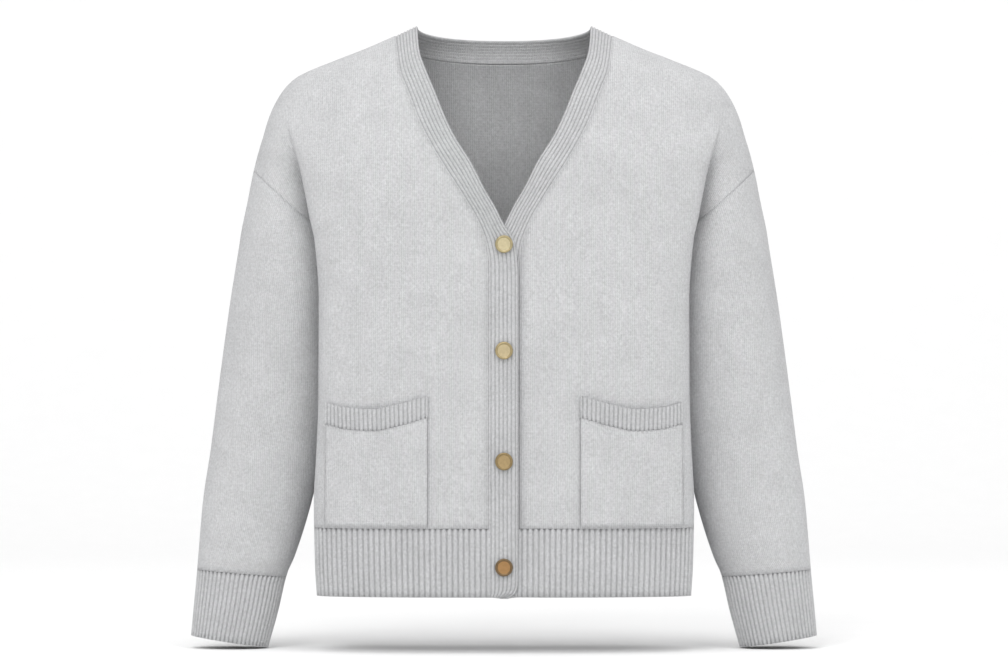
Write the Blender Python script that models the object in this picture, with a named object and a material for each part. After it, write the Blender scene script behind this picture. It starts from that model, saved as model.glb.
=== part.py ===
"""A button cardigan, filled out as if worn by a general figure, with nobody in it.

Every pattern piece is a wall of cloth on one shared form: the body's outer surface, the two sleeve
tubes and the band round the opening. The form is worked out at any height from the short tables
below. +X is the wearer's left, -Y the front and +Z up. The origin lies midway between the two neck
points, at the height where the shoulders carry the cardigan. Lengths in this file are millimetres,
and become metres where a mesh is made.
"""
import math

import bpy
import numpy as np

MM = 0.001
PLAIN_WALL = 2.5  # plain knit
RIB_WALL = 3.0  # ribbed knit
SEAM_GAP = 0.3  # between two pieces sewn edge to edge
OVERLAP_STEP = 3.7  # how much deeper the lower front lies under the upper band
PATCH_LIFT = 0.45  # between a front and the pocket sewn on it

NECK_TOP = -12.2  # where the band's seam crosses the shoulder
SHOULDER_END = -150.0  # the armhole's highest point
UNDERARM = -214.0
MERGED_ABOVE = -100.0  # above this the body and the sleeve cap are one round form
RIB_TOP = -513.8
HEM = -583.0
SIDE_Y = 10.0  # the side seams' place, front to back
CHEST_ROUND = 2.6  # exponent of the rounded chest and back
SHOULDER_ROUND = 2.3  # exponent of the rounded shoulders
NECK_ROUND = 2.2  # exponent of the back neck curve
NECK_DIP = 25.8  # how far the back neck seam hangs below the shoulder seam's end
BUTTON_RADIUS = 9.0
BUTTON_HEIGHTS = (-227.5, -334.5, -446.0, -552.5)
BUTTON_LIFT = 0.5

# The outline of neck, shoulder and sleeve cap from the front: half widths down to the armhole.
SHOULDER = (
    ("z", "half_width"),
    (0, 91), (-6, 98), (-14, 116), (-26.6, 145), (-35, 167), (-57, 216), (-78, 233),
    (-98, 242), (-119, 248), (-139, 254), (-150, 257),
)
# The sleeve's level sections: outer and inner edge, half depth, and its middle front to back.
SLEEVE = (
    ("z", "outer", "inner", "half_depth", "middle"),
    (0, 91, 60, 20, 0),
    (-57, 216, 150, 42, 4),
    (-100, 242.6, 172, 47, 7),
    (-150, 257, 181, 50, 10),
    (-182, 263.3, 182, 52, 10),
    (-214, 270, 178, 55, 10),
    (-221, 271, 175.5, 55.5, 10),
    (-283, 281, 173.5, 54, 12),
    (-385, 295, 176.5, 46, 14),
    (-437, 301.5, 186, 41, 12),
    (-488, 309, 197, 38, 9),
    (-549, 314, 216, 34, 4),
    (-562, 315, 222, 31.5, 3),
    (-600, 318.5, 231, 30.5, 1),
    (-640, 322, 242, 30, 0),
)
# The body's folds in front of and behind the sleeve, the side seam, and the turn round the sleeve
# section, in degrees, at which the body meets the sleeve cap.
FOLD = (
    ("z", "front_x", "front_y", "back_x", "back_y", "side", "front_turn", "back_turn"),
    (-100, 222, -40, 216, 57, 182, 70, 88),
    (-113, 218, -43, 210, 58, 182, 80, 95),
    (-139, 210, -48, 203, 56, 181, 106, 118),
    (-160, 205, -51, 198, 53, 180, 122, 135),
    (-180, 201, -53, 194, 50, 179, 133, 145),
    (-201, 197, -54, 190, 48, 178.5, 149, 158),
    (-214, 194, -54, 187, 47, 178, 180, 180),
    (-221, 192.5, -54, 185, 46, 173.6, 180, 180),
    (-283, 188, -52, 180, 45, 171.6, 180, 180),
    (-385, 188.5, -50, 179, 44, 174.4, 180, 180),
    (-437, 190.5, -50, 184, 42, 183, 180, 180),
    (-488, 193, -50, 188, 42, 188.5, 180, 180),
    (-549, 192, -50, 188, 42, 189, 180, 180),
    (-583, 190, -50, 186, 42, 187, 180, 180),
)
DEPTH = (
    ("z", "front", "back"),
    (-150, 90, 75), (-214, 93, 76), (-283, 95, 73), (-385, 96, 70), (-488, 97, 71), (-583, 96, 72),
)
# The band's seam, and its free edge, which crosses the middle line where the fronts overlap.
BAND_SEAM = (
    ("z", "x"),
    (-12.2, 112), (-51, 106), (-70, 98.5), (-106, 84.6), (-143.5, 64), (-181.5, 39.5),
    (-205, 26), (-225, 18.5), (-250, 15), (-583, 15),
)
BAND_EDGE = (
    ("z", "x"),
    (-2, 90), (-28, 87), (-50, 79.5), (-73, 70), (-96, 61), (-119, 50), (-143.5, 34.5),
    (-169, 21.7), (-191, 9), (-209, 0), (-222, -8.5), (-240, -12.5), (-260, -13.5),
    (-568, -13.5), (-577, -12), (-583, -3),
)
# How much higher the band's free edge is than its seam, on a line straight across the band.
BAND_TILT = (("z", "rise"), (-12.2, 10.2), (-51, 12), (-181, 12), (-215, 7), (-250, 0), (-583, 0))
# The heights of the pocket's opening, from the middle of the body outwards.
POCKET_TOP = (("x", "z"), (77, -380), (105, -388), (133, -393.5), (158, -392), (180, -387))
POCKET_BOTTOM = -511.5
TRIM_HEIGHT = 22.0
POCKET_GAPE = 2.5  # how far the opening stands off the front in its middle

RIDGE_ROWS = (NECK_TOP, -20.0, -30.0, -42.0, -57.0, -76.0, -98.0, -124.0, SHOULDER_END)
LOWER_ROWS = (UNDERARM, -224.0, -250.0, -285.0, -334.0, -385.0, -430.0, -472.0, RIB_TOP)
HEM_ROWS = (RIB_TOP, -548.0, -572.0, HEM)
ARMHOLE_STEPS = 8  # from the shoulder seam round to the underarm
CHEST_STEPS = (0, 0.12, 0.24, 0.36, 0.52, 0.68, 0.82, 0.91, 0.955, 1)
BACK_STEPS = (0, 0.2, 0.4, 0.6, 0.78, 0.92, 1)
FOLD_STEPS = 3
CAP_STEPS = 3
POCKET_COLUMNS = slice(3, 9)  # the chest columns that a pocket covers
# The sleeve's rows: the height of each row's middle, and how much its outer side is higher.
SLEEVE_ROWS = (
    (-182, 32), (-201, 28), (-228, 22), (-268, 15), (-318, 10), (-375, 6), (-435, 4), (-495, 4),
    (-540, 3.8), (-562.2, 3.6),
)
CUFF_ROWS = ((-562.2, 3.6), (-598, 4.8), (-632.3, 6))


def smooth(t):
    t = np.clip(t, 0.0, 1.0)
    return t * t * (3 - 2 * t)


def read(table, column, at):
    """A column's value at a place in the table's first column: a smooth curve, no overshoot."""
    names, *rows = table
    xs, ys = np.array(sorted((row[0], row[names.index(column)]) for row in rows), float).T
    step = np.diff(xs)
    slope = np.diff(ys) / step
    tangent = np.concatenate([slope[:1], slope[1:] * 0, slope[-1:]])
    for k in range(1, len(step)):
        if slope[k - 1] * slope[k] > 0:
            tangent[k] = 2 * slope[k - 1] * slope[k] / (slope[k - 1] + slope[k])
    at = min(max(at, xs[0]), xs[-1])
    k = min(max(int(np.searchsorted(xs, at)) - 1, 0), len(step) - 1)
    t = (at - xs[k]) / step[k]
    ends = ys[k] * (1 + 2 * t) * (1 - t) ** 2 + ys[k + 1] * t * t * (3 - 2 * t)
    return float(ends + step[k] * t * (1 - t) * ((1 - t) * tangent[k] - t * tangent[k + 1]))


def bulge(fraction, exponent):
    """The rounded profile that is 1 in the middle and falls to 0 at the fraction 1."""
    return (1 - min(abs(fraction), 1) ** exponent) ** (1 / exponent)


def rise(z, reach, power):
    """How much of its full depth the body has at a height, from none at the neck point."""
    t = min(max(-z / reach, 0), 1)
    return (1 - (1 - t) ** power) ** (1 / power)


def depth(face, z):
    if face < 0:
        return read(DEPTH, "front", z) * rise(z, 160, 1.7)
    return read(DEPTH, "back", z) * rise(z, 110, 2.2)


def merging(z):
    return float(smooth((z - SHOULDER_END) / (MERGED_ABOVE - SHOULDER_END)))


def sleeve_point(turn, z):
    """A point of the +X sleeve: turn is 0 outside, 90 behind, 180 at the body, -90 in front."""
    outer, inner = read(SLEEVE, "outer", z), read(SLEEVE, "inner", z)
    across = math.cos(math.radians(turn)) * (outer - inner) / 2
    along = math.sin(math.radians(turn)) * read(SLEEVE, "half_depth", z)
    return np.array([(outer + inner) / 2 + across, read(SLEEVE, "middle", z) + along, z])


def half_width(z):
    return read(SHOULDER, "half_width", z) if z > SHOULDER_END else read(SLEEVE, "outer", z)


def panel_y(face, x, z):
    """The body's outer surface over the chest (face -1) or the back (face 1)."""
    merged, x = merging(z), abs(x)
    ridge = read(SLEEVE, "middle", z)
    side = ("front", "back")[face > 0]
    y = 0.0
    if merged < 1:
        corner = read(FOLD, side + "_y", z)
        y += (1 - merged) * (
            corner + (face * depth(face, z) - corner) * bulge(x / read(FOLD, side + "_x", z), CHEST_ROUND)
        )
    if merged > 0:
        round_y = ridge + (face * depth(face, z) - ridge) * bulge(x / half_width(z), SHOULDER_ROUND)
        y += merged * round_y
    return y


def corner_share(face, start, z):
    """The part of the way from start to the outer edge at which the body's fold lies."""
    z = min(z, MERGED_ABOVE)
    fold = read(FOLD, ("front_x", "back_x")[face > 0], z)
    return (fold - start) / (half_width(z) - start)


def sleeve_room(z, y):
    """How far out the body's side may reach beside the sleeve."""
    outer, inner = read(SLEEVE, "outer", z), read(SLEEVE, "inner", z)
    off = (y - read(SLEEVE, "middle", z)) / read(SLEEVE, "half_depth", z)
    clearance = min(1.6, 0.6 + 0.1 * max(0, UNDERARM - z))
    if abs(off) >= 1:
        return outer
    return (outer + inner) / 2 - (outer - inner) / 2 * math.sqrt(1 - off * off) - clearance


def body_point(face, s, z, start, level=None):
    """A point of the +X half: s runs 0-1 over chest or back, 1-2 round the fold, 2-3 over the cap.

    start is where s = 0 lies across the body. level is the height of the row's outer end, where
    the row dips towards the middle of the back."""
    level = z if level is None else level
    side = ("front", "back")[face > 0]
    merged = merging(z)
    ridge = np.array([half_width(level), read(SLEEVE, "middle", level), z])
    if s <= 1:
        share = corner_share(face, start, level)
        x = start + (ridge[0] - start) * share * s
        return np.array([x, panel_y(face, x, z), z])
    turn_in = read(FOLD, side + "_turn", z) * face
    turn_out = 0.0
    if z < SHOULDER_END:
        turn_out = face * math.degrees(math.acos(max(-1, (z - SLEEVE_ROWS[0][0]) / SLEEVE_ROWS[0][1])))
    corner = np.array([read(FOLD, side + "_x", z), read(FOLD, side + "_y", z), z])
    meet = sleeve_point(turn_in, z)
    if z <= UNDERARM:
        meet = np.array([read(FOLD, "side", z), SIDE_Y, z])
    if s <= 2:
        t = s - 1
        apart = corner + (meet - corner) * np.array([smooth(t), t, 0])
        if s < 2 or z < UNDERARM:
            apart[0] = min(apart[0], sleeve_room(z, apart[1]))
        cap = 0.02 * t
    else:
        turn = turn_in + (turn_out - turn_in) * (s - 2)
        apart = sleeve_point(turn, z)
        sweep = math.cos(math.radians(90 * (3 - s)))
        cap = 0.02 + 0.98 * sweep
    if merged > 0:
        share = corner_share(face, start, level)
        x = start + (ridge[0] - start) * (share + (1 - share) * cap)
        y = ridge[1] + (face * depth(face, z) - ridge[1]) * bulge(x / half_width(z), SHOULDER_ROUND)
        if s == 3:
            y = ridge[1]
        apart = (1 - merged) * apart + merged * np.array([x, y, z])
    return apart


def overlap_depth(side, x, z):
    """How much deeper the wearer's left front lies near the middle, below the other front."""
    if side < 0:
        return 0.0
    return float(OVERLAP_STEP * smooth((-150 - z) / 45) * (1 - smooth((x - 15) / 45)))


def steps(face, with_cap):
    """The values of s that a row of the body has."""
    places = list(CHEST_STEPS if face < 0 else BACK_STEPS)
    places += [1 + (k + 1) / FOLD_STEPS for k in range(FOLD_STEPS)]
    if with_cap:
        places += [2 + (k + 1) / CAP_STEPS for k in range(CAP_STEPS)]
    return places


def armhole_rows():
    middle, swing = SLEEVE_ROWS[0]
    return [middle + swing * math.cos(math.pi * (k + 1) / ARMHOLE_STEPS) for k in range(ARMHOLE_STEPS)]


def front_rows(side, heights):
    """The rows of a front: each begins at the band's seam."""
    grid = []
    for z in heights:
        start = seam_x(z)
        row = [body_point(-1, s, z, start) for s in steps(-1, z > UNDERARM - 1 and heights is not HEM_ROWS)]
        for point in row:
            point[1] += overlap_depth(side, point[0], z)
        grid.append(row)
    return mirrored(side, grid)


def back_row(level, with_cap):
    """A row of the back's +X half, from the middle outwards; near the neck it dips in the middle."""
    share = 1 - float(smooth((NECK_TOP - level) / (NECK_TOP - MERGED_ABOVE)))
    if level <= MERGED_ABOVE:
        share = 0.0
    row = []
    for s in steps(1, with_cap):
        if share == 0:
            row.append(body_point(1, s, level, 0))
            continue
        across = body_point(1, s, level, 0)[0] / half_width(level)
        z = level - NECK_DIP * share * bulge(across, NECK_ROUND)
        x = across * (half_width(level) * share + half_width(z) * (1 - share))
        ridge = read(SLEEVE, "middle", level)
        y = ridge + (depth(1, z) - ridge) * bulge(x / half_width(z), SHOULDER_ROUND)
        row.append(np.array([x, y, z]))
    return row


def mirrored(side, grid):
    return [[point * np.array([side, 1, 1]) for point in row] for row in grid]


def both_halves(rows):
    """Rows of the back's +X half, carried on across the middle to the other side."""
    flip = np.array([-1, 1, 1])
    return [[point * flip for point in row[:0:-1]] + row for row in rows]


def tube_rows(side, rows):
    """The rings of a sleeve or cuff."""
    turns = [180 * k / ARMHOLE_STEPS for k in range(2 * ARMHOLE_STEPS)]
    grid = [[sleeve_point(turn, z + swing * math.cos(math.radians(turn))) for turn in turns]
            for z, swing in rows]
    return mirrored(side, grid)


def seam_x(z):
    """Where the band's seam lies across a front: at the top it meets the shoulder seam."""
    return half_width(z) if z >= NECK_TOP else min(read(BAND_SEAM, "x", z), half_width(z))


def band_rows(side, seam):
    """The band down one front: a row across it for each height of its seam."""
    grid = []
    for z in seam:
        start = np.array([seam_x(z), z])
        edge_z = z + read(BAND_TILT, "rise", z)
        end = np.array([read(BAND_EDGE, "x", edge_z), edge_z])
        row = []
        for t in (0, 1 / 3, 2 / 3, 1):
            x, height = start + (end - start) * t
            y = panel_y(-1, x, height) if z < NECK_TOP else read(SLEEVE, "middle", z) * (1 - t)
            row.append(np.array([x, y + overlap_depth(side, x, z), height]))
        grid.append(row)
    return mirrored(side, grid)


def neck_rows(seam):
    """The band behind the neck, from the +X shoulder to the other: a row for each seam point."""
    half = []
    for point in seam:
        across = point[0] / seam[-1][0]
        back = bulge(across, NECK_ROUND)
        edge = np.array([90 * across, 59 * back, -2 - 12 * back])
        lean = np.array([0, 2.0 * back, 0])
        half.append([point + (edge - point) * t + lean * 4 * t * (1 - t) for t in (0, 1 / 3, 2 / 3, 1)])
    flip = np.array([-1, 1, 1])
    other = [[point * flip for point in row] for row in half[1:]]
    return half[::-1] + other


class Form:
    """The garment's outer surface: shared points, and the faces that each piece takes of it."""

    def __init__(self):
        self.points, self.known, self.faces = [], {}, {}

    def index(self, point):
        key = tuple(np.round(point, 2) + 0.0)
        if key not in self.known:
            self.known[key] = len(self.points)
            self.points.append(np.array(point, float))
        return self.known[key]

    def add(self, name, grid, outward, closed=False):
        """Adds a grid of points to a piece. outward is the direction of its middle face."""
        numbers = [[self.index(point) for point in row] for row in grid]
        faces = []
        for above, below in zip(numbers, numbers[1:]):
            count = min(len(above), len(below))
            for j in range(count if closed else count - 1):
                k = (j + 1) % count
                face = list(dict.fromkeys((above[j], above[k], below[k], below[j])))
                if len(face) > 2:
                    faces.append(face)
        total = sum(self.normal(face) @ outward(self.middle(face)) for face in faces)
        if total < 0:
            faces = [face[::-1] for face in faces]
        self.faces.setdefault(name, []).extend(faces)

    def middle(self, face):
        return sum(self.points[k] for k in face) / len(face)

    def normal(self, face):
        corners = [self.points[k] for k in face]
        if len(corners) == 3:
            corners.append(corners[0])
        return np.cross(corners[2] - corners[0], corners[3] - corners[1])

    def normals(self):
        """Each point's direction out of the cloth, shared by all the pieces that meet there."""
        total = np.zeros((len(self.points), 3))
        for faces in self.faces.values():
            for face in faces:
                normal = self.normal(face)
                total[face] += normal / np.linalg.norm(normal)
        return total / np.linalg.norm(total, axis=1)[:, None]


def open_edges(faces):
    """The edges that only one face has, each in the direction in which that face runs."""
    edges = {}
    for face in faces:
        for a, b in zip(face, face[1:] + face[:1]):
            edges[(a, b)] = face
    return {edge: face for edge, face in edges.items() if edge[::-1] not in edges}


def seam_shifts(form, faces, normals):
    """How each point on a piece's edge moves so that half a seam's gap opens along it."""
    inward = {}
    for (a, b), _ in open_edges(faces).items():
        along = form.points[b] - form.points[a]
        step = np.cross(normals[a] + normals[b], along)
        step /= np.linalg.norm(step)
        inward.setdefault(a, []).append(step)
        inward.setdefault(b, []).append(step)
    shifts = {}
    for k, ways in inward.items():
        total = sum(ways)
        size = max(float(total @ total) / len(ways), 0.5)
        shifts[k] = 0.6 * SEAM_GAP * total / size
    return shifts


def cloth_piece(name, form, normals, wall, material, special=None, lift=0.0, faces=None):
    """A piece of cloth: its faces of the form, and the same faces a wall's thickness inside."""
    faces = faces or form.faces[name]
    used = sorted({k for face in faces for k in face})
    shifts = seam_shifts(form, faces, normals)
    shifts.update({k: way for k, way in (special or {}).items() if k in shifts})
    outside = {k: form.points[k] + shifts.get(k, 0) + normals[k] * lift for k in used}
    place = {k: n for n, k in enumerate(used)}
    points = [outside[k] for k in used] + [outside[k] - normals[k] * wall for k in used]
    shell = [[place[k] for k in face] for face in faces]
    count = len(used)
    lining = [[k + count for k in face[::-1]] for face in shell]
    rim = [[place[b], place[a], place[a] + count, place[b] + count] for a, b in open_edges(faces)]
    return make_object(name, points, shell + lining + rim, material)


def make_object(name, points, faces, material):
    mesh = bpy.data.meshes.new(name)
    mesh.from_pydata([tuple(np.asarray(point) * MM) for point in points], [], faces)
    mesh.materials.append(material)
    mesh.validate()
    made = bpy.data.objects.new(name, mesh)
    bpy.context.scene.collection.objects.link(made)
    return made


def make_material(name, colour, roughness, metallic=0.0):
    material = bpy.data.materials.new(name)
    material.use_nodes = True
    shader = material.node_tree.nodes["Principled BSDF"]
    shader.inputs["Base Color"].default_value = (*colour, 1)
    shader.inputs["Roughness"].default_value = roughness
    shader.inputs["Metallic"].default_value = metallic
    return material


def from_body(point):
    return point * np.array([1, 1, 0])


def from_sleeve(side):
    def outward(point):
        z = point[2]
        axis = (read(SLEEVE, "outer", z) + read(SLEEVE, "inner", z)) / 2
        return point - np.array([side * axis, read(SLEEVE, "middle", z), z])
    return outward


def upper_rows():
    return list(RIDGE_ROWS) + armhole_rows()


def build_form():
    """All of the garment's outer surface, piece by piece."""
    form = Form()
    for side, name in ((-1, "right"), (1, "left")):
        form.add("front_" + name, front_rows(side, upper_rows()), from_body)
        form.add("front_" + name, front_rows(side, LOWER_ROWS), from_body)
        form.add("hem_front_" + name, front_rows(side, HEM_ROWS), from_body)
        form.add("sleeve_" + name, tube_rows(side, SLEEVE_ROWS), from_sleeve(side), closed=True)
        form.add("cuff_" + name, tube_rows(side, CUFF_ROWS), from_sleeve(side), closed=True)
    upper = [back_row(z, True) for z in upper_rows()]
    form.add("back", both_halves(upper), from_body)
    form.add("back", both_halves([back_row(z, False) for z in LOWER_ROWS]), from_body)
    form.add("hem_back", both_halves([back_row(z, False) for z in HEM_ROWS]), from_body)
    seam = upper_rows() + list(LOWER_ROWS[1:]) + list(HEM_ROWS[1:])
    forward = lambda point: np.array([0, -1, 0.2])
    form.add("band", band_rows(-1, seam), forward)
    form.add("band", band_rows(1, seam), forward)
    form.add("band", neck_rows(upper[0]), from_body)
    return form


def armhole_shifts(form, name):
    """How a front, the back or a sleeve draws off the armhole seam, along the sleeve.

    Where the shoulder and side seams end at the armhole, front and back also draw apart."""
    away = 1 if name.startswith("sleeve") else -1
    face = {"front": -1, "back": 1}.get(name.split("_")[0], 0)
    shifts = {}
    for side in (-1, 1):
        along = np.array([side, 0, -1.2]) * away * SEAM_GAP
        for k, point in enumerate(tube_rows(side, SLEEVE_ROWS[:1])[0]):
            apart = face * 0.7 * SEAM_GAP if k % ARMHOLE_STEPS == 0 else 0
            shifts[form.index(point)] = along + np.array([0, apart, 0])
    return shifts


def front_point(rows, column, z):
    """A point of a front's column at a height between two of its rows."""
    heights = [row[column][2] for row in rows]
    k = max(n for n in range(len(heights) - 1) if heights[n] >= z or n == 0)
    t = (heights[k] - z) / (heights[k] - heights[k + 1])
    return rows[k][column] + (rows[k + 1][column] - rows[k][column]) * t


def pocket_form(side, name):
    """A pocket and its ribbed trim, on the points of the front that they lie on."""
    rows = front_rows(side, LOWER_ROWS)
    columns = range(len(CHEST_STEPS))[POCKET_COLUMNS]
    trim, patch = [], []
    for grid, shares in ((trim, (0, 0.5, 1)), (patch, (0, 0.25, 0.5, 0.75, 1))):
        for share in shares:
            row = []
            for n, column in enumerate(columns):
                top = read(POCKET_TOP, "z", abs(front_point(rows, column, -385)[0]))
                low = top - TRIM_HEIGHT
                z = top + (low - top) * share if grid is trim else low + (POCKET_BOTTOM - low) * share
                gape = POCKET_GAPE * math.sin(math.pi * n / (len(columns) - 1)) if grid is trim else 0
                row.append(front_point(rows, column, z) - np.array([0, gape * (1 - share), 0]))
            grid.append(row)
    form = Form()
    form.add("pocket_trim_" + name, trim, from_body)
    form.add("pocket_" + name, patch, from_body)
    return form


def add_button(number, z, material):
    """A turned button with a raised rim and a shallow dish, flat behind, just off the band."""
    profile = ((0, 0), (0.62, 0), (0.9, 0.5), (1, 1.5), (0.98, 2.6), (0.88, 3.1), (0.76, 2.9),
               (0.68, 2.3), (0.3, 2.2), (0, 2.4))
    sides = 24
    slope = (panel_y(-1, 0, z + BUTTON_RADIUS) - panel_y(-1, 0, z - BUTTON_RADIUS)) / (2 * BUTTON_RADIUS)
    tilt = math.atan(slope)
    front = min(panel_y(-1, x, z + dz) - slope * dz
                for x in (-BUTTON_RADIUS, 0, BUTTON_RADIUS) for dz in (-BUTTON_RADIUS, 0, BUTTON_RADIUS))
    centre = np.array([0, front - BUTTON_LIFT, z])
    out = np.array([0, -math.cos(tilt), math.sin(tilt)])
    up = np.array([0, math.sin(tilt), math.cos(tilt)])
    points, faces = [centre], []
    for radius, height in profile[1:-1]:
        for k in range(sides):
            angle = 2 * math.pi * k / sides
            flat = np.array([math.cos(angle), 0, 0]) + up * math.sin(angle)
            points.append(centre + flat * radius * BUTTON_RADIUS + out * height)
    points.append(centre + out * profile[-1][1])
    ring = [1 + sides * n for n in range(len(profile) - 2)]
    for k in range(sides):
        after = (k + 1) % sides
        faces.append([0, ring[0] + after, ring[0] + k])
        faces.append([len(points) - 1, ring[-1] + k, ring[-1] + after])
        for low, high in zip(ring, ring[1:]):
            faces.append([low + k, low + after, high + after, high + k])
    made = make_object(f"button_{number}", points, faces, material)
    made.data.shade_smooth()


def main():
    for old in list(bpy.data.objects):
        bpy.data.objects.remove(old, do_unlink=True)
    plain = make_material("plain_knit", (0.56, 0.56, 0.57), 0.95)
    rib = make_material("rib_knit", (0.50, 0.50, 0.51), 0.95)
    brass = make_material("button_brass", (0.34, 0.25, 0.13), 0.38, 0.7)
    form = build_form()
    normals = form.normals()
    for name in form.faces:
        ribbed = name.split("_")[0] in ("hem", "cuff", "band")
        wall, knit = (RIB_WALL, rib) if ribbed else (PLAIN_WALL, plain)
        cloth_piece(name, form, normals, wall, knit, armhole_shifts(form, name))
    for side, name in ((-1, "right"), (1, "left")):
        pocket = pocket_form(side, name)
        for piece in pocket.faces:
            trim = "trim" in piece
            wall = RIB_WALL if trim else PLAIN_WALL
            cloth_piece(piece, pocket, pocket.normals(), wall, rib if trim else plain, lift=PATCH_LIFT + wall)
    for number, z in enumerate(BUTTON_HEIGHTS, 1):
        add_button(number, z, brass)


main()
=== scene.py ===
"""The looks of the button cardigan: knitted shells on the solids' own form, ribs, buttons, studio.

The form repeats the construction's short tables, in millimetres, so that every shell lies on its
solid. +X is the wearer's left, -Y the front and +Z up, and the origin lies between the neck points.
"""
import math

import bpy
import numpy as np
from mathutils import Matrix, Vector


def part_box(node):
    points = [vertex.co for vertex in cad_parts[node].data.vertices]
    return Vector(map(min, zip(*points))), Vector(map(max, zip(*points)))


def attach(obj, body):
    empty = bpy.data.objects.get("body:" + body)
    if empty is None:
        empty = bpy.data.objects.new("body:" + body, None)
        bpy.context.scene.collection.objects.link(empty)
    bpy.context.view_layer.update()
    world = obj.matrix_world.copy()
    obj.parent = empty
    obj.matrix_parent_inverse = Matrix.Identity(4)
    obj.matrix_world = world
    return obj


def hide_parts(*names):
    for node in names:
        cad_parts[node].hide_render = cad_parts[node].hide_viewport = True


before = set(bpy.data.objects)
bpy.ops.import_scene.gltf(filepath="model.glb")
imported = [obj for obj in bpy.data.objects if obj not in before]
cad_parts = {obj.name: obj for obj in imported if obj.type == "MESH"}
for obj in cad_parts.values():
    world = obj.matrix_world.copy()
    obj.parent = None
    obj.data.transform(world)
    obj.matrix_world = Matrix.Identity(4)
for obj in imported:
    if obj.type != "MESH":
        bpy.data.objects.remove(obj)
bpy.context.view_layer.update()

MM = 0.001
PLAIN_WALL = 2.0
RIB_WALL = 2.4
OVERLAP_STEP = 3.7
OVERLAP_TOP = -150.0
OVERLAP_FADE = 45.0
BAND_HALF_WIDTH = 15.0
NECK_TOP = -12.2
SHOULDER_END = -150.0
UNDERARM = -214.0
MERGED_ABOVE = -100.0
RIB_TOP = -513.8
HEM = -583.0
SIDE_Y = 10.0
CHEST_ROUND = 2.6
SHOULDER_ROUND = 2.3
NECK_ROUND = 2.2
NECK_DIP = 25.8
ARMHOLE_MIDDLE = -182.0
ARMHOLE_SWING = 32.0

# How the depth grows from nothing at the shoulder, as (reach, power): the front, then the back.
SHOULDER_RISE = {-1: (160, 1.7), 1: (110, 2.2)}

SHOULDER = (
    ("z", "half_width"),
    (0, 91), (-6, 98), (-14, 116), (-26.6, 145), (-35, 167), (-57, 216), (-78, 233),
    (-98, 242), (-119, 248), (-139, 254), (-150, 257),
)
SLEEVE = (
    ("z", "outer", "inner", "half_depth", "middle"),
    (0, 91, 60, 20, 0),
    (-57, 216, 150, 42, 4),
    (-100, 242.6, 172, 47, 7),
    (-150, 257, 181, 50, 10),
    (-182, 263.3, 182, 52, 10),
    (-214, 270, 178, 55, 10),
    (-221, 271, 175.5, 55.5, 10),
    (-283, 281, 173.5, 54, 12),
    (-385, 295, 176.5, 46, 14),
    (-437, 301.5, 186, 41, 12),
    (-488, 309, 197, 38, 9),
    (-549, 314, 216, 34, 4),
    (-562, 315, 222, 31.5, 3),
    (-600, 318.5, 231, 30.5, 1),
    (-640, 322, 242, 30, 0),
)
# The fold where the body turns under the arm: its front and back corners, how far out the side
# reaches, and where on the sleeve, as a turn in degrees, each face meets it.
FOLD = (
    ("z", "front_x", "front_y", "back_x", "back_y", "side", "front_turn", "back_turn"),
    (-100, 222, -40, 216, 57, 182, 70, 88),
    (-113, 218, -43, 210, 58, 182, 80, 95),
    (-139, 210, -48, 203, 56, 181, 106, 118),
    (-160, 205, -51, 198, 53, 180, 122, 135),
    (-180, 201, -53, 194, 50, 179, 133, 145),
    (-201, 197, -54, 190, 48, 178.5, 149, 158),
    (-214, 194, -54, 187, 47, 178, 180, 180),
    (-221, 192.5, -54, 185, 46, 173.6, 180, 180),
    (-283, 188, -52, 180, 45, 171.6, 180, 180),
    (-385, 188.5, -50, 179, 44, 174.4, 180, 180),
    (-437, 190.5, -50, 184, 42, 183, 180, 180),
    (-488, 193, -50, 188, 42, 188.5, 180, 180),
    (-549, 192, -50, 188, 42, 189, 180, 180),
    (-583, 190, -50, 186, 42, 187, 180, 180),
)
DEPTH = (
    ("z", "front", "back"),
    (-150, 90, 75), (-214, 93, 76), (-283, 95, 73), (-385, 96, 70), (-488, 97, 71), (-583, 96, 72),
)
BAND_SEAM = (
    ("z", "x"),
    (-12.2, 112), (-51, 106), (-70, 98.5), (-106, 84.6), (-143.5, 64), (-181.5, 39.5),
    (-205, 26), (-225, 18.5), (-250, 15), (-583, 15),
)
BAND_EDGE = (
    ("z", "x"),
    (-2, 90), (-28, 87), (-50, 79.5), (-73, 70), (-96, 61), (-119, 50), (-143.5, 34.5),
    (-169, 21.7), (-191, 9), (-209, 0), (-222, -8.5), (-240, -12.5), (-260, -13.5),
    (-568, -13.5), (-577, -12), (-583, -3),
)
BAND_TILT = (("z", "rise"), (-12.2, 10.2), (-51, 12), (-181, 12), (-215, 7), (-250, 0), (-583, 0))
POCKET_TOP = (("x", "z"), (77, -380), (105, -388), (133, -393.5), (158, -392), (180, -387))
POCKET_BOTTOM = -511.5
POCKET_INNER = 77
POCKET_OUTER = 181
POCKET_MIDDLE = 130
POCKET_INSET = 4
POCKET_STAND = PLAIN_WALL + 0.9
TRIM_HEIGHT = 22.0
TRIM_STAND = POCKET_STAND + 0.6
TRIM_GAPE = 2.6
SLEEVE_TURNS = (
    ("z", "swing"),
    (-182, 32), (-201, 28), (-228, 22), (-268, 15), (-318, 10), (-375, 6), (-435, 4),
    (-495, 4), (-540, 3.8), (-562.2, 3.6),
)
CUFF_TURNS = ((-562.2, 3.6), (-598, 4.8), (-632.3, 6))
NECK_EDGE_HALF_WIDTH = 90
NECK_EDGE_DEPTH = 59
NECK_EDGE_TOP = -2
NECK_EDGE_DIP = 12
NECK_BAND_SWELL = 8.0
BUTTON_RADIUS = 9.0
BUTTON_INSET = 0.05
BUTTON_HEIGHTS = (-227.5, -334.5, -446.0, -552.5)

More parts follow.
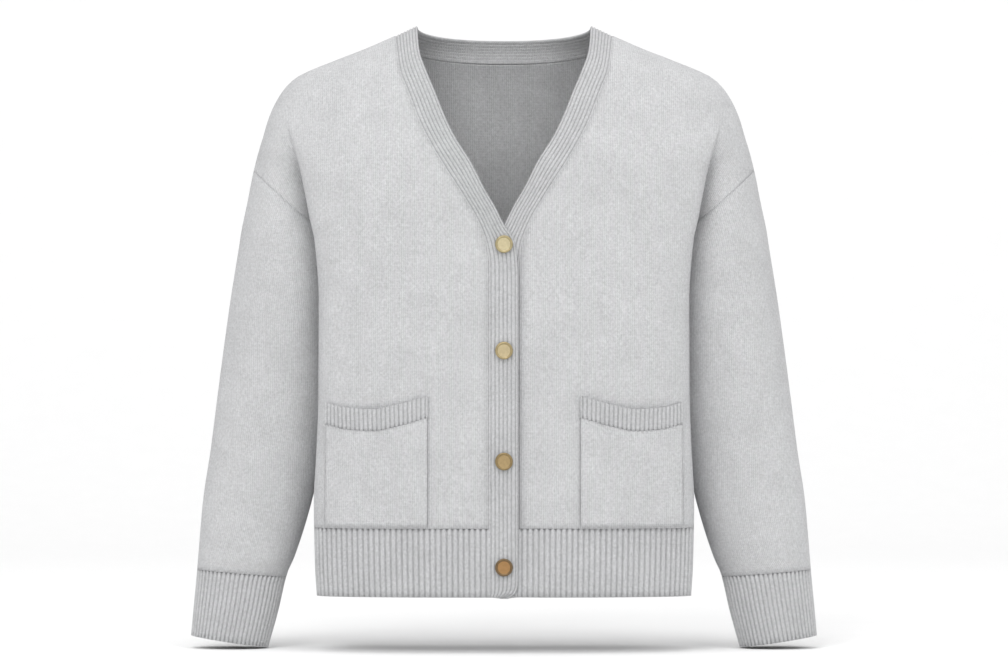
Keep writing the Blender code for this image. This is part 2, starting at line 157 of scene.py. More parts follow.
# How finely the shells are drawn.
ROW = 6.0
ARMHOLE_STEPS = 24
CHEST_STEPS = 26
FOLD_STEPS = 8
CAP_STEPS = 10
BACK_STEPS = 26
RIDGE_STEPS = 26
RIDGE_EASE = 1.4
SLEEVE_STEPS = 72
CUFF_STEPS = 350
BAND_COLUMNS = 44
BUTTON_SIDES = 64
RIB_STEP = 0.7
WELD_DISTANCE = 0.00002

# How many ribs each rib piece has, and how far they stand up.
BAND_RIBS = 7
CUFF_RIBS = 50
HEM_FRONT_RIBS = 45
HEM_BACK_RIBS = 88
TRIM_RIBS = 24
BAND_RELIEF = 0.6
CUFF_RELIEF = 0.85
HEM_RELIEF = 0.95
TRIM_RELIEF = 0.8


def smooth(t):
    """An even step from 0 to 1."""
    t = np.clip(t, 0.0, 1.0)
    return t * t * (3 - 2 * t)


prepared = {}


def read(table, column, at):
    """A column's value at a place in the table's first column: a smooth curve, no overshoot."""
    key = (id(table), column)
    if key not in prepared:
        names, *rows = table
        xs, ys = np.array(sorted((row[0], row[names.index(column)]) for row in rows), float).T
        step = np.diff(xs)
        slope = np.diff(ys) / step
        tangent = np.concatenate([slope[:1], slope[1:] * 0, slope[-1:]])
        for k in range(1, len(step)):
            if slope[k - 1] * slope[k] > 0:
                tangent[k] = 2 * slope[k - 1] * slope[k] / (slope[k - 1] + slope[k])
        prepared[key] = (xs.tolist(), ys.tolist(), step.tolist(), tangent.tolist())
    xs, ys, step, tangent = prepared[key]
    at = min(max(at, xs[0]), xs[-1])
    k = 0
    while k < len(step) - 1 and at > xs[k + 1]:
        k += 1
    t = (at - xs[k]) / step[k]
    ends = ys[k] * (1 + 2 * t) * (1 - t) ** 2 + ys[k + 1] * t * t * (3 - 2 * t)
    return ends + step[k] * t * (1 - t) * ((1 - t) * tangent[k] - t * tangent[k + 1])


def bulge(fraction, exponent):
    """A rounded box's height, 1 in the middle and 0 at its side."""
    return (1 - min(abs(fraction), 1) ** exponent) ** (1 / exponent)


def rise(z, reach, power):
    """How much of the depth there is at a height below the shoulder."""
    t = min(max(-z / reach, 0), 1)
    return (1 - (1 - t) ** power) ** (1 / power)


def depth(face, z):
    """How far the middle of the chest (face -1) or the back (face 1) lies from the side seam."""
    return read(DEPTH, ("front", "back")[face > 0], z) * rise(z, *SHOULDER_RISE[face])


def merging(z):
    """1 where body and sleeve are one shoulder, 0 below the shoulder's end."""
    return float(smooth((z - SHOULDER_END) / (MERGED_ABOVE - SHOULDER_END)))


def sleeve_point(turn, z):
    """A point of the +X sleeve: turn is 0 outside, 90 behind, 180 at the body, -90 in front."""
    outer, inner = read(SLEEVE, "outer", z), read(SLEEVE, "inner", z)
    across = math.cos(math.radians(turn)) * (outer - inner) / 2
    along = math.sin(math.radians(turn)) * read(SLEEVE, "half_depth", z)
    return np.array([(outer + inner) / 2 + across, read(SLEEVE, "middle", z) + along, z])


def half_width(z):
    return read(SHOULDER, "half_width", z) if z > SHOULDER_END else read(SLEEVE, "outer", z)


def panel_y(face, x, z):
    """The body's outer surface over the chest (face -1) or the back (face 1)."""
    merged, x = merging(z), abs(x)
    ridge = read(SLEEVE, "middle", z)
    side = ("front", "back")[face > 0]
    y = 0.0
    if merged < 1:
        corner = read(FOLD, side + "_y", z)
        y += (1 - merged) * (
            corner
            + (face * depth(face, z) - corner) * bulge(x / read(FOLD, side + "_x", z), CHEST_ROUND)
        )
    if merged > 0:
        round_y = ridge + (face * depth(face, z) - ridge) * bulge(x / half_width(z), SHOULDER_ROUND)
        y += merged * round_y
    return y


def corner_share(face, start, z):
    """The share of a row that lies inside the fold's corner."""
    z = min(z, MERGED_ABOVE)
    fold = read(FOLD, ("front_x", "back_x")[face > 0], z)
    return (fold - start) / (half_width(z) - start)


def sleeve_room(z, y):
    """How far out the body's side may reach beside the sleeve."""
    outer, inner = read(SLEEVE, "outer", z), read(SLEEVE, "inner", z)
    off = (y - read(SLEEVE, "middle", z)) / read(SLEEVE, "half_depth", z)
    clearance = min(1.6, 0.6 + 0.1 * max(0, UNDERARM - z))
    if abs(off) >= 1:
        return outer
    return (outer + inner) / 2 - (outer - inner) / 2 * math.sqrt(1 - off * off) - clearance


def body_point(face, s, z, start, level=None):
    """A point of the +X half: s runs 0-1 over chest or back, 1-2 round the fold, 2-3 over the cap."""
    level = z if level is None else level
    side = ("front", "back")[face > 0]
    merged = merging(z)
    ridge = np.array([half_width(level), read(SLEEVE, "middle", level), z])
    if s <= 1:
        share = corner_share(face, start, level)
        x = start + (ridge[0] - start) * share * s
        return np.array([x, panel_y(face, x, z), z])
    turn_in = read(FOLD, side + "_turn", z) * face
    turn_out = 0.0
    if z < SHOULDER_END:
        turn_out = face * math.degrees(math.acos(max(-1, (z - ARMHOLE_MIDDLE) / ARMHOLE_SWING)))
    corner = np.array([read(FOLD, side + "_x", z), read(FOLD, side + "_y", z), z])
    meet = sleeve_point(turn_in, z)
    if z <= UNDERARM:
        meet = np.array([read(FOLD, "side", z), SIDE_Y, z])
    if s <= 2:
        t = s - 1
        apart = corner + (meet - corner) * np.array([smooth(t), t, 0])
        if s < 2 or z < UNDERARM:
            apart[0] = min(apart[0], sleeve_room(z, apart[1]))
        cap = 0.02 * t
    else:
        turn = turn_in + (turn_out - turn_in) * (s - 2)
        apart = sleeve_point(turn, z)
        sweep = math.cos(math.radians(90 * (3 - s)))
        cap = 0.02 + 0.98 * sweep
    if merged > 0:
        share = corner_share(face, start, level)
        x = start + (ridge[0] - start) * (share + (1 - share) * cap)
        y = ridge[1] + (face * depth(face, z) - ridge[1]) * bulge(x / half_width(z), SHOULDER_ROUND)
        if s == 3:
            y = ridge[1]
        apart = (1 - merged) * apart + merged * np.array([x, y, z])
    return apart


def overlap_depth(side, x, z):
    """How much deeper the wearer's left front lies near the middle, below the other front."""
    if side < 0:
        return 0.0
    below = smooth((OVERLAP_TOP - z) / OVERLAP_FADE)
    return float(OVERLAP_STEP * below * (1 - smooth((x - BAND_HALF_WIDTH) / OVERLAP_FADE)))


def seam_x(z):
    """Where a front's row starts: at the band, or at the neck point above it."""
    return half_width(z) if z >= NECK_TOP else min(read(BAND_SEAM, "x", z), half_width(z))


def spaced(high, low, step=ROW):
    """Heights from high to low, about a step apart."""
    count = max(1, round((high - low) / step))
    return [high + (low - high) * k / count for k in range(count + 1)]


def chest_places(count):
    """Values of s over chest or back, closer together towards the fold."""
    return [math.sin(math.pi / 2 * k / count) for k in range(count)] + [1.0]


def row_places(face, with_cap):
    places = chest_places(CHEST_STEPS if face < 0 else BACK_STEPS)
    places += [1 + (k + 1) / FOLD_STEPS for k in range(FOLD_STEPS)]
    if with_cap:
        places += [2 + (k + 1) / CAP_STEPS for k in range(CAP_STEPS)]
    return places


def ridge_heights():
    """The rows' heights along the shoulder ridge, then down the armhole."""
    top = [NECK_TOP + (SHOULDER_END - NECK_TOP) * (k / RIDGE_STEPS) ** RIDGE_EASE
           for k in range(RIDGE_STEPS + 1)]
    return top + [ARMHOLE_MIDDLE + ARMHOLE_SWING * math.cos(math.pi * (k + 1) / ARMHOLE_STEPS)
                  for k in range(ARMHOLE_STEPS)]


def front_rows(side, heights, with_cap):
    """A front's grid, from the band to the side, and over the sleeve cap above the underarm."""
    grid = []
    for z in heights:
        row = [body_point(-1, s, z, seam_x(z)) for s in row_places(-1, with_cap)]
        for point in row:
            point[1] += overlap_depth(side, point[0], z)
        grid.append(row)
    return np.array(grid) * np.array([side, 1, 1])


def back_row(level, with_cap):
    """The +X half of a back row; near the neck the rows dip towards the middle."""
    share = 0.0
    if level > MERGED_ABOVE:
        share = 1 - float(smooth((NECK_TOP - level) / (NECK_TOP - MERGED_ABOVE)))
    row = []
    for s in row_places(1, with_cap):
        if share == 0:
            row.append(body_point(1, s, level, 0))
            continue
        across = body_point(1, s, level, 0)[0] / half_width(level)
        z = level - NECK_DIP * share * bulge(across, NECK_ROUND)
        x = across * (half_width(level) * share + half_width(z) * (1 - share))
        ridge = read(SLEEVE, "middle", level)
        y = ridge + (depth(1, z) - ridge) * bulge(x / half_width(z), SHOULDER_ROUND)
        row.append(np.array([x, y, z]))
    return row


def both_halves(rows):
    """Rows from -X to +X, from rows of the +X half."""
    flip = np.array([-1, 1, 1])
    return np.array([[point * flip for point in row[:0:-1]] + row for row in rows])


def tube_rows(side, rows, count):
    """The rings of a sleeve or cuff, from the body round behind and back to the body in front."""
    turns = [180 - 360 * k / count for k in range(count + 1)]
    grid = [[sleeve_point(turn, z + swing * math.cos(math.radians(turn))) for turn in turns]
            for z, swing in rows]
    return np.array(grid) * np.array([side, 1, 1])


def swings(first, last, count):
    """Rows of a tube between two (height, swing) rows."""
    return [(first[0] + (last[0] - first[0]) * k / count, first[1] + (last[1] - first[1]) * k / count)
            for k in range(count + 1)]


def grid_normals(grid, outward):
    """Each grid point's direction out of the cloth. outward gives the rough way out at a point."""
    down = np.gradient(grid, axis=0)
    across = np.gradient(grid, axis=1)
    normal = np.cross(across, down)
    size = np.linalg.norm(normal, axis=2, keepdims=True)
    normal = np.where(size > 1e-6, normal / np.maximum(size, 1e-6), 0)
    way = outward(grid)
    flip = np.sign((normal * way).sum())
    return normal * (flip if flip else 1)


def from_body(grid):
    """The rough way out for pieces that go round the body."""
    return grid * np.array([1, 1, 0]) + np.array([0, 0, 1e-3])


def forward(grid):
    """The rough way out for the band's two front stretches."""
    return np.zeros_like(grid) + np.array([0, -1, 0.2])


def from_tube(side):
    """The rough way out for a sleeve or cuff."""
    def outward(grid):
        axis = np.array([[[side * (read(SLEEVE, "outer", p[2]) + read(SLEEVE, "inner", p[2])) / 2,
                           read(SLEEVE, "middle", p[2]), p[2]] for p in row] for row in grid])
        return grid - axis
    return outward


def distances(grid, axis):
    """How far along the grid each point lies from its first row or column, in millimetres."""
    step = np.linalg.norm(np.diff(grid, axis=axis), axis=2)
    start = np.zeros((1, grid.shape[1])) if axis == 0 else np.zeros((grid.shape[0], 1))
    return np.concatenate([start, np.cumsum(step, axis=axis)], axis=axis)


def cloth_object(name, parts, outward, wall, material):
    """A knitted shell: grids of points with their wale and course places, given a thickness."""
    vertices, faces, places = [], [], []
    for grid, wale, course in parts:
        rows, columns = grid.shape[:2]
        base = len(vertices)
        vertices += [tuple(p * MM) for p in grid.reshape(-1, 3)]
        places += list(zip(wale.reshape(-1) * MM, course.reshape(-1) * MM))
        normal = np.cross(np.gradient(grid, axis=1), np.gradient(grid, axis=0))
        swap = (normal * outward(grid)).sum() < 0
        for i in range(rows - 1):
            for j in range(columns - 1):
                a = base + i * columns + j
                face = (a, a + 1, a + columns + 1, a + columns)
                faces.append(face[::-1] if swap else face)
    mesh = bpy.data.meshes.new(name)
    mesh.from_pydata(vertices, [], faces)
    layer = mesh.uv_layers.new(name="knit")
    corners = np.zeros(len(mesh.loops), int)
    mesh.loops.foreach_get("vertex_index", corners)
    layer.data.foreach_set("uv", np.array(places, np.float32)[corners].reshape(-1))
    made = bpy.data.objects.new(name, mesh)
    bpy.context.scene.collection.objects.link(made)
    made.modifiers.new("weld", "WELD").merge_threshold = WELD_DISTANCE
    thick = made.modifiers.new("wall", "SOLIDIFY")
    thick.thickness = wall * MM
    thick.offset = -1
    mesh.materials.append(material)
    mesh.shade_smooth()
    return made


def finished(piece, node):
    """Puts a piece on its body, in place of its solid."""
    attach(piece, "root")
    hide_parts(node)


# --- materials -------------------------------------------------------------------------------

class Nodes:
    """A short way to write a node tree."""

    def __init__(self, name):
        self.material = bpy.data.materials.new(name)
        self.material.use_nodes = True
        self.tree = self.material.node_tree
        self.shader = self.tree.nodes["Principled BSDF"]

    def add(self, kind, *inputs, **settings):
        node = self.tree.nodes.new(kind)
        for key, value in settings.items():
            setattr(node, key, value)
        for socket, value in zip(node.inputs, inputs):
            self.put(socket, value)
        return node

    def put(self, socket, value):
        if value is None:
            return
        if isinstance(value, bpy.types.NodeSocket):
            self.tree.links.new(value, socket)
        else:
            socket.default_value = value

    def math(self, operation, a, b=None, c=None):
        return self.add("ShaderNodeMath", a, b, c, operation=operation).outputs[0]

    def noise(self, vector, scale, detail=3.0):
        node = self.add("ShaderNodeTexNoise", noise_dimensions="3D")
        self.put(node.inputs["Vector"], vector)
        node.inputs["Scale"].default_value = scale
        node.inputs["Detail"].default_value = detail
        return node.outputs["Fac"]

    def blend(self, factor, a, b):
        node = self.add("ShaderNodeMix", data_type="RGBA")
        self.put(node.inputs["Factor"], factor)
        self.put(node.inputs["A"], a)
        self.put(node.inputs["B"], b)
        return node.outputs["Result"]


def knit_material(name, colour, wale, course, relief, rib_groove_shade=0.0):
    """Stocking stitch: columns of V stitches in a heathered yarn, with a soft fuzz, and painted shade
    in the hollows between stitches and, on rib knit, between ribs.
    """
    made = Nodes(name)
    place = made.add("ShaderNodeUVMap", uv_map="knit").outputs[0]
    split = made.add("ShaderNodeSeparateXYZ", place)
    solid = made.add("ShaderNodeTexCoord").outputs["Object"]
    drift = made.math("SUBTRACT", made.noise(solid, 300.0, 2.0), 0.5)
    wander = made.math("MULTIPLY", drift, 0.0009)
    across = made.math("DIVIDE", made.math("ADD", split.outputs[0], wander), wale)
    column = made.math("FRACT", across)
    edge = made.math("MULTIPLY", made.math("ABSOLUTE", made.math("SUBTRACT", column, 0.5)), 2.0)
    rows = made.math("DIVIDE", split.outputs[1], course)
    along = made.math("ADD", rows, made.math("MULTIPLY", edge, 0.7))
    turn = made.math("MULTIPLY", along, 2 * math.pi)
    stitch = made.math("MULTIPLY_ADD", made.math("COSINE", turn), 0.5, 0.5)
    ridge = made.math("SUBTRACT", 1.0, made.math("MULTIPLY", edge, edge))
    height = made.math("ADD", made.math("MULTIPLY", ridge, 0.6), made.math("MULTIPLY", stitch, 0.4))
    fine = made.noise(solid, 1500.0, 4.0)
    tuft = made.noise(solid, 420.0, 3.0)
    cloud = made.noise(solid, 38.0, 4.0)
    # Painted shade: the colour is darker in the hollows between stitches, following the stitch
    # relief. The tufts and clouds after it are the yarn's own uneven heather tone.
    shade = made.math("MULTIPLY_ADD", height, 0.26, 0.83)
    shade = made.math("MULTIPLY", shade, made.math("MULTIPLY_ADD", tuft, 0.60, 0.70))
    shade = made.math("MULTIPLY", shade, made.math("MULTIPLY_ADD", cloud, 0.20, 0.90))
    # Painted shade: rib knit is darkened towards the grooves between its ribs.
    if rib_groove_shade:
        crest = made.math("COSINE", made.math("MULTIPLY", across, math.pi))
        shade = made.math("MULTIPLY", shade, made.math("MULTIPLY_ADD", crest, rib_groove_shade, 1.0 - rib_groove_shade))
    dark = tuple(0.42 * c for c in colour)
    fleck = made.math("SMOOTH_MAX", made.math("SUBTRACT", fine, 0.56), 0.0, 0.05)
    tint = made.blend(made.math("MULTIPLY", fleck, 1.6), (*colour, 1), (*dark, 1))
    scaled = made.add("ShaderNodeVectorMath", tint, operation="SCALE")
    made.put(scaled.inputs["Scale"], shade)
    made.put(made.shader.inputs["Base Color"], scaled.outputs[0])
    bump = made.add("ShaderNodeBump")
    bump.inputs["Strength"].default_value = 0.9
    bump.inputs["Distance"].default_value = relief
    made.put(bump.inputs["Height"], made.math("ADD", height, made.math("MULTIPLY", tuft, 0.9)))
    made.put(made.shader.inputs["Normal"], bump.outputs[0])
    made.shader.inputs["Roughness"].default_value = 0.95
    made.shader.inputs["Specular IOR Level"].default_value = 0.12
    made.shader.inputs["Sheen Weight"].default_value = 0.22
    made.shader.inputs["Sheen Roughness"].default_value = 0.55
    made.shader.inputs["Sheen Tint"].default_value = (0.9, 0.9, 0.92, 1)
    return made.material


def metal_material(name, colour, wear, roughness):
    """Cast button metal: a mottled patina with fine turning marks."""
    made = Nodes(name)
    solid = made.add("ShaderNodeTexCoord").outputs["Object"]
    cloud = made.noise(solid, 420.0, 5.0)
    tint = made.blend(made.math("MULTIPLY", cloud, 0.9), (*colour, 1), (*wear, 1))
    made.put(made.shader.inputs["Base Color"], tint)
    made.put(made.shader.inputs["Roughness"], made.math("MULTIPLY_ADD", cloud, 0.25, roughness - 0.1))
    bump = made.add("ShaderNodeBump")
    bump.inputs["Strength"].default_value = 0.35
    bump.inputs["Distance"].default_value = 0.0002
    made.put(bump.inputs["Height"], made.noise(solid, 1300.0, 3.0))
    made.put(made.shader.inputs["Normal"], bump.outputs[0])
    made.shader.inputs["Metallic"].default_value = 0.75
    return made.material


GREY = (0.545, 0.548, 0.556)
PLAIN = knit_material("plain_knit", GREY, 0.0022, 0.0017, 0.0007)
RIB_WALE = 2.4
# The rib knit carries painted shade in the grooves between its ribs.
RIB = knit_material("rib_knit", GREY, RIB_WALE * MM, 0.0019, 0.0006, rib_groove_shade=0.11)


# --- the body --------------------------------------------------------------------------------


def courses_of(grid):
    """The place along the wales: how far down each point lies."""
    return -grid[:, :, 2]


def body_stretches():
    """The rows' heights above and below the underarm, and whether they cover the sleeve cap."""
    return (ridge_heights(), True), (spaced(UNDERARM, RIB_TOP), False)


def make_front(side, name):
    parts = []
    for heights, with_cap in body_stretches():
        grid = front_rows(side, heights, with_cap)
        start = np.array([seam_x(z) for z in heights])
        parts.append((grid, distances(grid, 1) + start[:, None], courses_of(grid)))
    piece = cloth_object("knit_front_" + name, parts, from_body, PLAIN_WALL, PLAIN)
    finished(piece, "front_" + name)


def make_back():
    parts = []
    for heights, with_cap in body_stretches():
        grid = both_halves([back_row(z, with_cap) for z in heights])
        middle = grid.shape[1] // 2
        wale = distances(grid, 1)
        parts.append((grid, wale - wale[:, middle:middle + 1], courses_of(grid)))
    piece = cloth_object("knit_back", parts, from_body, PLAIN_WALL, PLAIN)
    finished(piece, "back")


def even_columns(grid, step):
    """The grid again, with its columns evenly spaced along each row, about a step apart."""
    along = distances(grid, 1)
    count = max(2, int(round(along[:, -1].mean() / step)))
    rows = []
    for row, place in zip(grid, along):
        at = np.linspace(0, place[-1], count + 1)
        rows.append(np.stack([np.interp(at, place, row[:, k]) for k in range(3)], axis=1))
    return np.array(rows)


def ribbed(grid, outward, count, height, phase=None):
    """A number of ribs on a grid, with narrow grooves and round crests, none past the grid itself.

    Gives the grid, and each point's place across the wales.
    """
    if phase is None:
        width = distances(grid, 1)
        phase = width / width[:, -1:] * count
    wave = 0.5 + 0.5 * np.cos(2 * np.pi * phase)
    lift = 2 * height * (wave ** 0.7 - 1)
    return grid + grid_normals(grid, outward) * lift[:, :, None], phase * 2 * RIB_WALE


def make_hem(node, grid, ribs):
    fine, wale = ribbed(even_columns(grid, RIB_STEP), from_body, ribs, HEM_RELIEF)
    piece = cloth_object("rib_" + node, [(fine, wale, courses_of(fine))], from_body, RIB_WALL, RIB)
    finished(piece, node)


def make_hems():
    heights = spaced(RIB_TOP, HEM, 7)
    for side, node in ((-1, "hem_front_right"), (1, "hem_front_left")):
        make_hem(node, front_rows(side, heights, False), HEM_FRONT_RIBS)
    make_hem("hem_back", both_halves([back_row(z, False) for z in heights]), HEM_BACK_RIBS)


def make_sleeve(side, name):
    rings = [(z, read(SLEEVE_TURNS, "swing", z)) for z in spaced(ARMHOLE_MIDDLE, CUFF_TURNS[0][0])]
    grid = tube_rows(side, rings, SLEEVE_STEPS)
    parts = [(grid, distances(grid, 1), courses_of(grid))]
    piece = cloth_object("knit_sleeve_" + name, parts, from_tube(side), PLAIN_WALL, PLAIN)
    finished(piece, "sleeve_" + name)


def make_cuff(side, name):
    rings = swings(CUFF_TURNS[0], CUFF_TURNS[1], 5) + swings(CUFF_TURNS[1], CUFF_TURNS[2], 5)[1:]
    grid, wale = ribbed(tube_rows(side, rings, CUFF_STEPS), from_tube(side), CUFF_RIBS, CUFF_RELIEF)
    parts = [(grid, wale, courses_of(grid))]
    piece = cloth_object("rib_cuff_" + name, parts, from_tube(side), RIB_WALL, RIB)
    finished(piece, "cuff_" + name)


def band_grid(side):
    """The band's stretch along a front, a row at each of the front's rows."""
    heights = ridge_heights() + spaced(UNDERARM, HEM, 4)[1:]
    grid = []
    for z in heights:
        start = np.array([seam_x(z), z])
        edge_z = z + read(BAND_TILT, "rise", z)
        end = np.array([read(BAND_EDGE, "x", edge_z), edge_z])
        row = []
        for k in range(BAND_COLUMNS + 1):
            x, height = start + (end - start) * k / BAND_COLUMNS
            y = panel_y(-1, x, height)
            if z >= NECK_TOP:
                y = read(SLEEVE, "middle", z) * (1 - k / BAND_COLUMNS)
            row.append([x, y + overlap_depth(side, x, z), height])
        grid.append(row)
    return np.array(grid) * np.array([side, 1, 1])


def neck_grid():
    """The band's stretch round the back of the neck, a row at each of the back's columns."""
    seam = back_row(NECK_TOP, True)
    half = []
    for point in seam:
        across = point[0] / seam[-1][0]
        back = bulge(across, NECK_ROUND)
        edge = np.array([NECK_EDGE_HALF_WIDTH * across, NECK_EDGE_DEPTH * back,
                         NECK_EDGE_TOP - NECK_EDGE_DIP * back])
        row = []
        for k in range(BAND_COLUMNS + 1):
            t = k / BAND_COLUMNS
            swell = np.array([0, NECK_BAND_SWELL * back * t * (1 - t), 0])
            row.append(point + (edge - point) * t + swell)
        half.append(row)
    half = np.array(half)
    return np.concatenate([half[::-1], half[1:] * np.array([-1, 1, 1])])


def make_band():
    """The band's three stretches, with its ribs running along them."""
    for suffix, grid, outward, length in (
        ("right", band_grid(-1), forward, 0.585),
        ("left", band_grid(1), forward, 0.585),
        ("neck", neck_grid(), from_body, 0.275),
    ):
        phase = np.tile(np.linspace(0, BAND_RIBS, BAND_COLUMNS + 1), (len(grid), 1))
        raised, wale = ribbed(grid, outward, BAND_RIBS, BAND_RELIEF, phase)
        parts = [(raised, wale, distances(grid, 0))]
        piece = cloth_object("rib_band_" + suffix, parts, outward, RIB_WALL, RIB)
        finished(piece, "band")


# --- pockets ---------------------------------------------------------------------------------


def pocket_top(x):
    return read(POCKET_TOP, "z", x)


def trim_low(x):
    return pocket_top(x) - TRIM_HEIGHT


def pocket_low(_):
    return POCKET_BOTTOM


def trim_lift(across, down):
    """How far the trim stands off the front: its free edge gapes in the middle."""
    return TRIM_STAND + TRIM_GAPE * math.sin(math.pi * across) * (1 - down)


def pocket_lift(_across, _down):
    return POCKET_STAND


def pocket_rows(side, top, low, columns, lift):
    """Rows over a front from one curved height to another: top and low are given at each x."""
    grid = []
    count = max(2, round(abs(top(POCKET_MIDDLE) - low(POCKET_MIDDLE)) / 4))
    for k in range(count + 1):
        down = k / count
        row = []
        for n in range(columns + 1):
            across = n / columns
            x = POCKET_INNER + (POCKET_OUTER - POCKET_INNER) * across
            z = top(x) + (low(x) - top(x)) * down
            x = min(x, read(FOLD, "front_x", z) - POCKET_INSET)
            row.append([x, panel_y(-1, x, z) + overlap_depth(side, x, z) - lift(across, down), z])
        grid.append(row)
    return np.array(grid) * np.array([side, 1, 1])


def make_pocket(side, name):
    trim = even_columns(pocket_rows(side, pocket_top, trim_low, 60, trim_lift), RIB_STEP)
    trim, wale = ribbed(trim, from_body, TRIM_RIBS, TRIM_RELIEF)
    parts = [(trim, wale, courses_of(trim))]
    piece = cloth_object("rib_pocket_trim_" + name, parts, from_body, RIB_WALL, RIB)
    finished(piece, "pocket_trim_" + name)
    patch = pocket_rows(side, trim_low, pocket_low, 40, pocket_lift)
    parts = [(patch, distances(patch, 1), courses_of(patch))]
    piece = cloth_object("knit_pocket_" + name, parts, from_body, PLAIN_WALL, PLAIN)
    finished(piece, "pocket_" + name)


# --- buttons ---------------------------------------------------------------------------------

BUTTON_LOOKS = (
    ("number", "rim", "face"),
    (1, (0.50, 0.42, 0.24), (0.62, 0.54, 0.34)),
    (2, (0.46, 0.37, 0.20), (0.58, 0.48, 0.29)),
    (3, (0.34, 0.25, 0.12), (0.44, 0.32, 0.16)),
    (4, (0.22, 0.15, 0.08), (0.42, 0.24, 0.10)),
)
# From the back's middle out to the rim and in to the face's middle: the radius as a share of the
# button's, and the height in millimetres. The face begins at the row FACE_ROW.
BUTTON_PROFILE = (
    (0, 0), (0.6, 0), (0.88, 0.4), (0.97, 1.0), (1.0, 1.7), (0.99, 2.4), (0.94, 2.9), (0.87, 3.1),
    (0.80, 2.95), (0.75, 2.5), (0.72, 2.15), (0.6, 2.1), (0.57, 2.25), (0.53, 2.1), (0.3, 2.15),
    (0, 2.3),
)
FACE_ROW = 10


def make_button(number, rim, face):
    """A turned metal button, tilted as the front leans."""
    z = BUTTON_HEIGHTS[number - 1]
    low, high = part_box(f"button_{number}")
    back = np.array([(low.x + high.x) / 2, high.y, (low.z + high.z) / 2]) / MM
    lean = panel_y(-1, 0, z + BUTTON_RADIUS) - panel_y(-1, 0, z - BUTTON_RADIUS)
    tilt = math.atan2(lean, 2 * BUTTON_RADIUS)
    out = np.array([0, -math.cos(tilt), math.sin(tilt)])
    up = np.array([0, math.sin(tilt), math.cos(tilt)])
    across = np.array([1, 0, 0])
    points, faces = [], []
    for radius, height in BUTTON_PROFILE:
        for k in range(BUTTON_SIDES):
            angle = 2 * math.pi * k / BUTTON_SIDES
            round_way = across * math.cos(angle) + up * math.sin(angle)
            reach = radius * (BUTTON_RADIUS - BUTTON_INSET)
            points.append((back + round_way * reach + out * height) * MM)
    for n in range(len(BUTTON_PROFILE) - 1):
        a, b = n * BUTTON_SIDES, (n + 1) * BUTTON_SIDES
        for k in range(BUTTON_SIDES):
            after = (k + 1) % BUTTON_SIDES
            faces.append((a + k, a + after, b + after, b + k))
    mesh = bpy.data.meshes.new(f"button_turned_{number}")
    mesh.from_pydata([tuple(p) for p in points], [], faces)
    made = bpy.data.objects.new(f"button_turned_{number}", mesh)
    bpy.context.scene.collection.objects.link(made)
    for place, colour, worn, roughness in (("rim", rim, 0.5, 0.34), ("face", face, 0.65, 0.42)):
        wear = tuple(worn * c for c in colour)
        mesh.materials.append(metal_material(f"button_{place}_{number}", colour, wear, roughness))
    for polygon in mesh.polygons:
        polygon.material_index = 1 if polygon.index >= FACE_ROW * BUTTON_SIDES else 0
    made.modifiers.new("weld", "WELD").merge_threshold = WELD_DISTANCE
    mesh.shade_smooth()
    finished(made, f"button_{number}")


# --- stage -----------------------------------------------------------------------------------


FLOOR_Z = -0.6395
FLOOR_FRONT = -7
FLOOR_BACK = 2.2
FLOOR_HALF_WIDTH = 6
SWEEP_RADIUS = 1.2
SWEEP_STEPS = 19
WALL_TOP = 6
WORLD_STRENGTH = 0.78
LIGHTS = (
    ("name", "place", "size", "power"),
    ("key", (-1.2, -3.4, 2.6), 2.2, 62),
    ("fill", (2.0, -3.4, 1.6), 2.4, 30),
    ("top", (0, -0.8, 3.2), 1.6, 30),
)
LIT_POINT = Vector((0, 0, -0.35))
CAMERA_PLACE = (0, -5, -0.3198)
CAMERA_LENS = 174.2


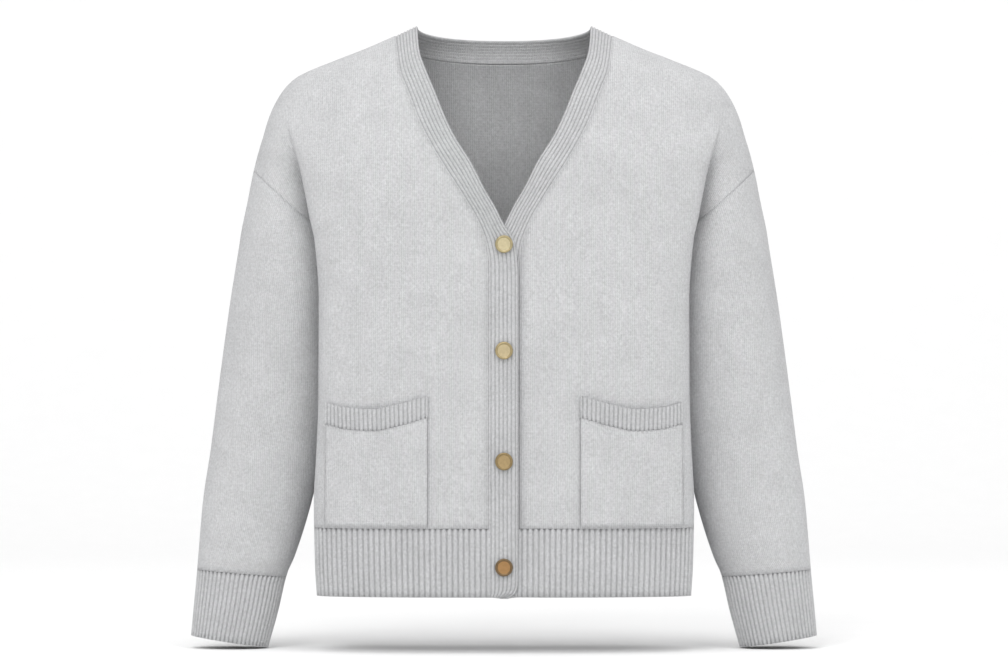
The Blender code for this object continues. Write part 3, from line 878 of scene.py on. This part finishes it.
def make_floor():
    """A white floor that curves up behind."""
    angles = [math.pi / 2 * k / SWEEP_STEPS for k in range(1, SWEEP_STEPS + 1)]
    profile = [(FLOOR_FRONT, 0), (FLOOR_BACK, 0)]
    profile += [(FLOOR_BACK + SWEEP_RADIUS * math.sin(a), SWEEP_RADIUS * (1 - math.cos(a)))
                for a in angles]
    profile.append((FLOOR_BACK + SWEEP_RADIUS, WALL_TOP))
    vertices = [(x, y, FLOOR_Z + z) for y, z in profile
                for x in (-FLOOR_HALF_WIDTH, FLOOR_HALF_WIDTH)]
    faces = [(2 * k, 2 * k + 1, 2 * k + 3, 2 * k + 2) for k in range(len(profile) - 1)]
    mesh = bpy.data.meshes.new("floor")
    mesh.from_pydata(vertices, [], faces)
    mesh.shade_smooth()
    floor = bpy.data.objects.new("floor", mesh)
    bpy.context.scene.collection.objects.link(floor)
    paper = Nodes("paper")
    grain = paper.noise(paper.add("ShaderNodeTexCoord").outputs["Object"], 30.0)
    paper.put(paper.shader.inputs["Base Color"],
              paper.blend(grain, (0.93, 0.93, 0.93, 1), (0.95, 0.95, 0.95, 1)))
    paper.shader.inputs["Roughness"].default_value = 0.9
    paper.shader.inputs["Specular IOR Level"].default_value = 0.0
    mesh.materials.append(paper.material)


def make_stage():
    """The floor, a soft light from the front and above, and the camera."""
    make_floor()
    scene = bpy.context.scene
    world = bpy.data.worlds.new("studio")
    world.use_nodes = True
    world.node_tree.nodes["Background"].inputs[0].default_value = (1, 1, 1, 1)
    world.node_tree.nodes["Background"].inputs[1].default_value = WORLD_STRENGTH
    scene.world = world
    for name, place, size, power in LIGHTS[1:]:
        light = bpy.data.lights.new(name, "AREA")
        light.size = size
        light.energy = power
        lamp = bpy.data.objects.new(name, light)
        lamp.location = place
        lamp.rotation_euler = (LIT_POINT - lamp.location).to_track_quat("-Z", "Y").to_euler()
        scene.collection.objects.link(lamp)

    camera = bpy.data.cameras.new("camera")
    camera.lens = CAMERA_LENS
    camera.sensor_width = 36
    camera.clip_end = 60
    view = bpy.data.objects.new("camera", camera)
    view.location = CAMERA_PLACE
    view.rotation_euler = (math.pi / 2, 0, 0)
    scene.collection.objects.link(view)
    scene.camera = view
    scene.view_settings.view_transform = "Standard"


for side, name in ((-1, "right"), (1, "left")):
    make_front(side, name)
    make_sleeve(side, name)
    make_cuff(side, name)
    make_pocket(side, name)
make_back()
make_hems()
make_band()
for look in BUTTON_LOOKS[1:]:
    make_button(*look)
make_stage()
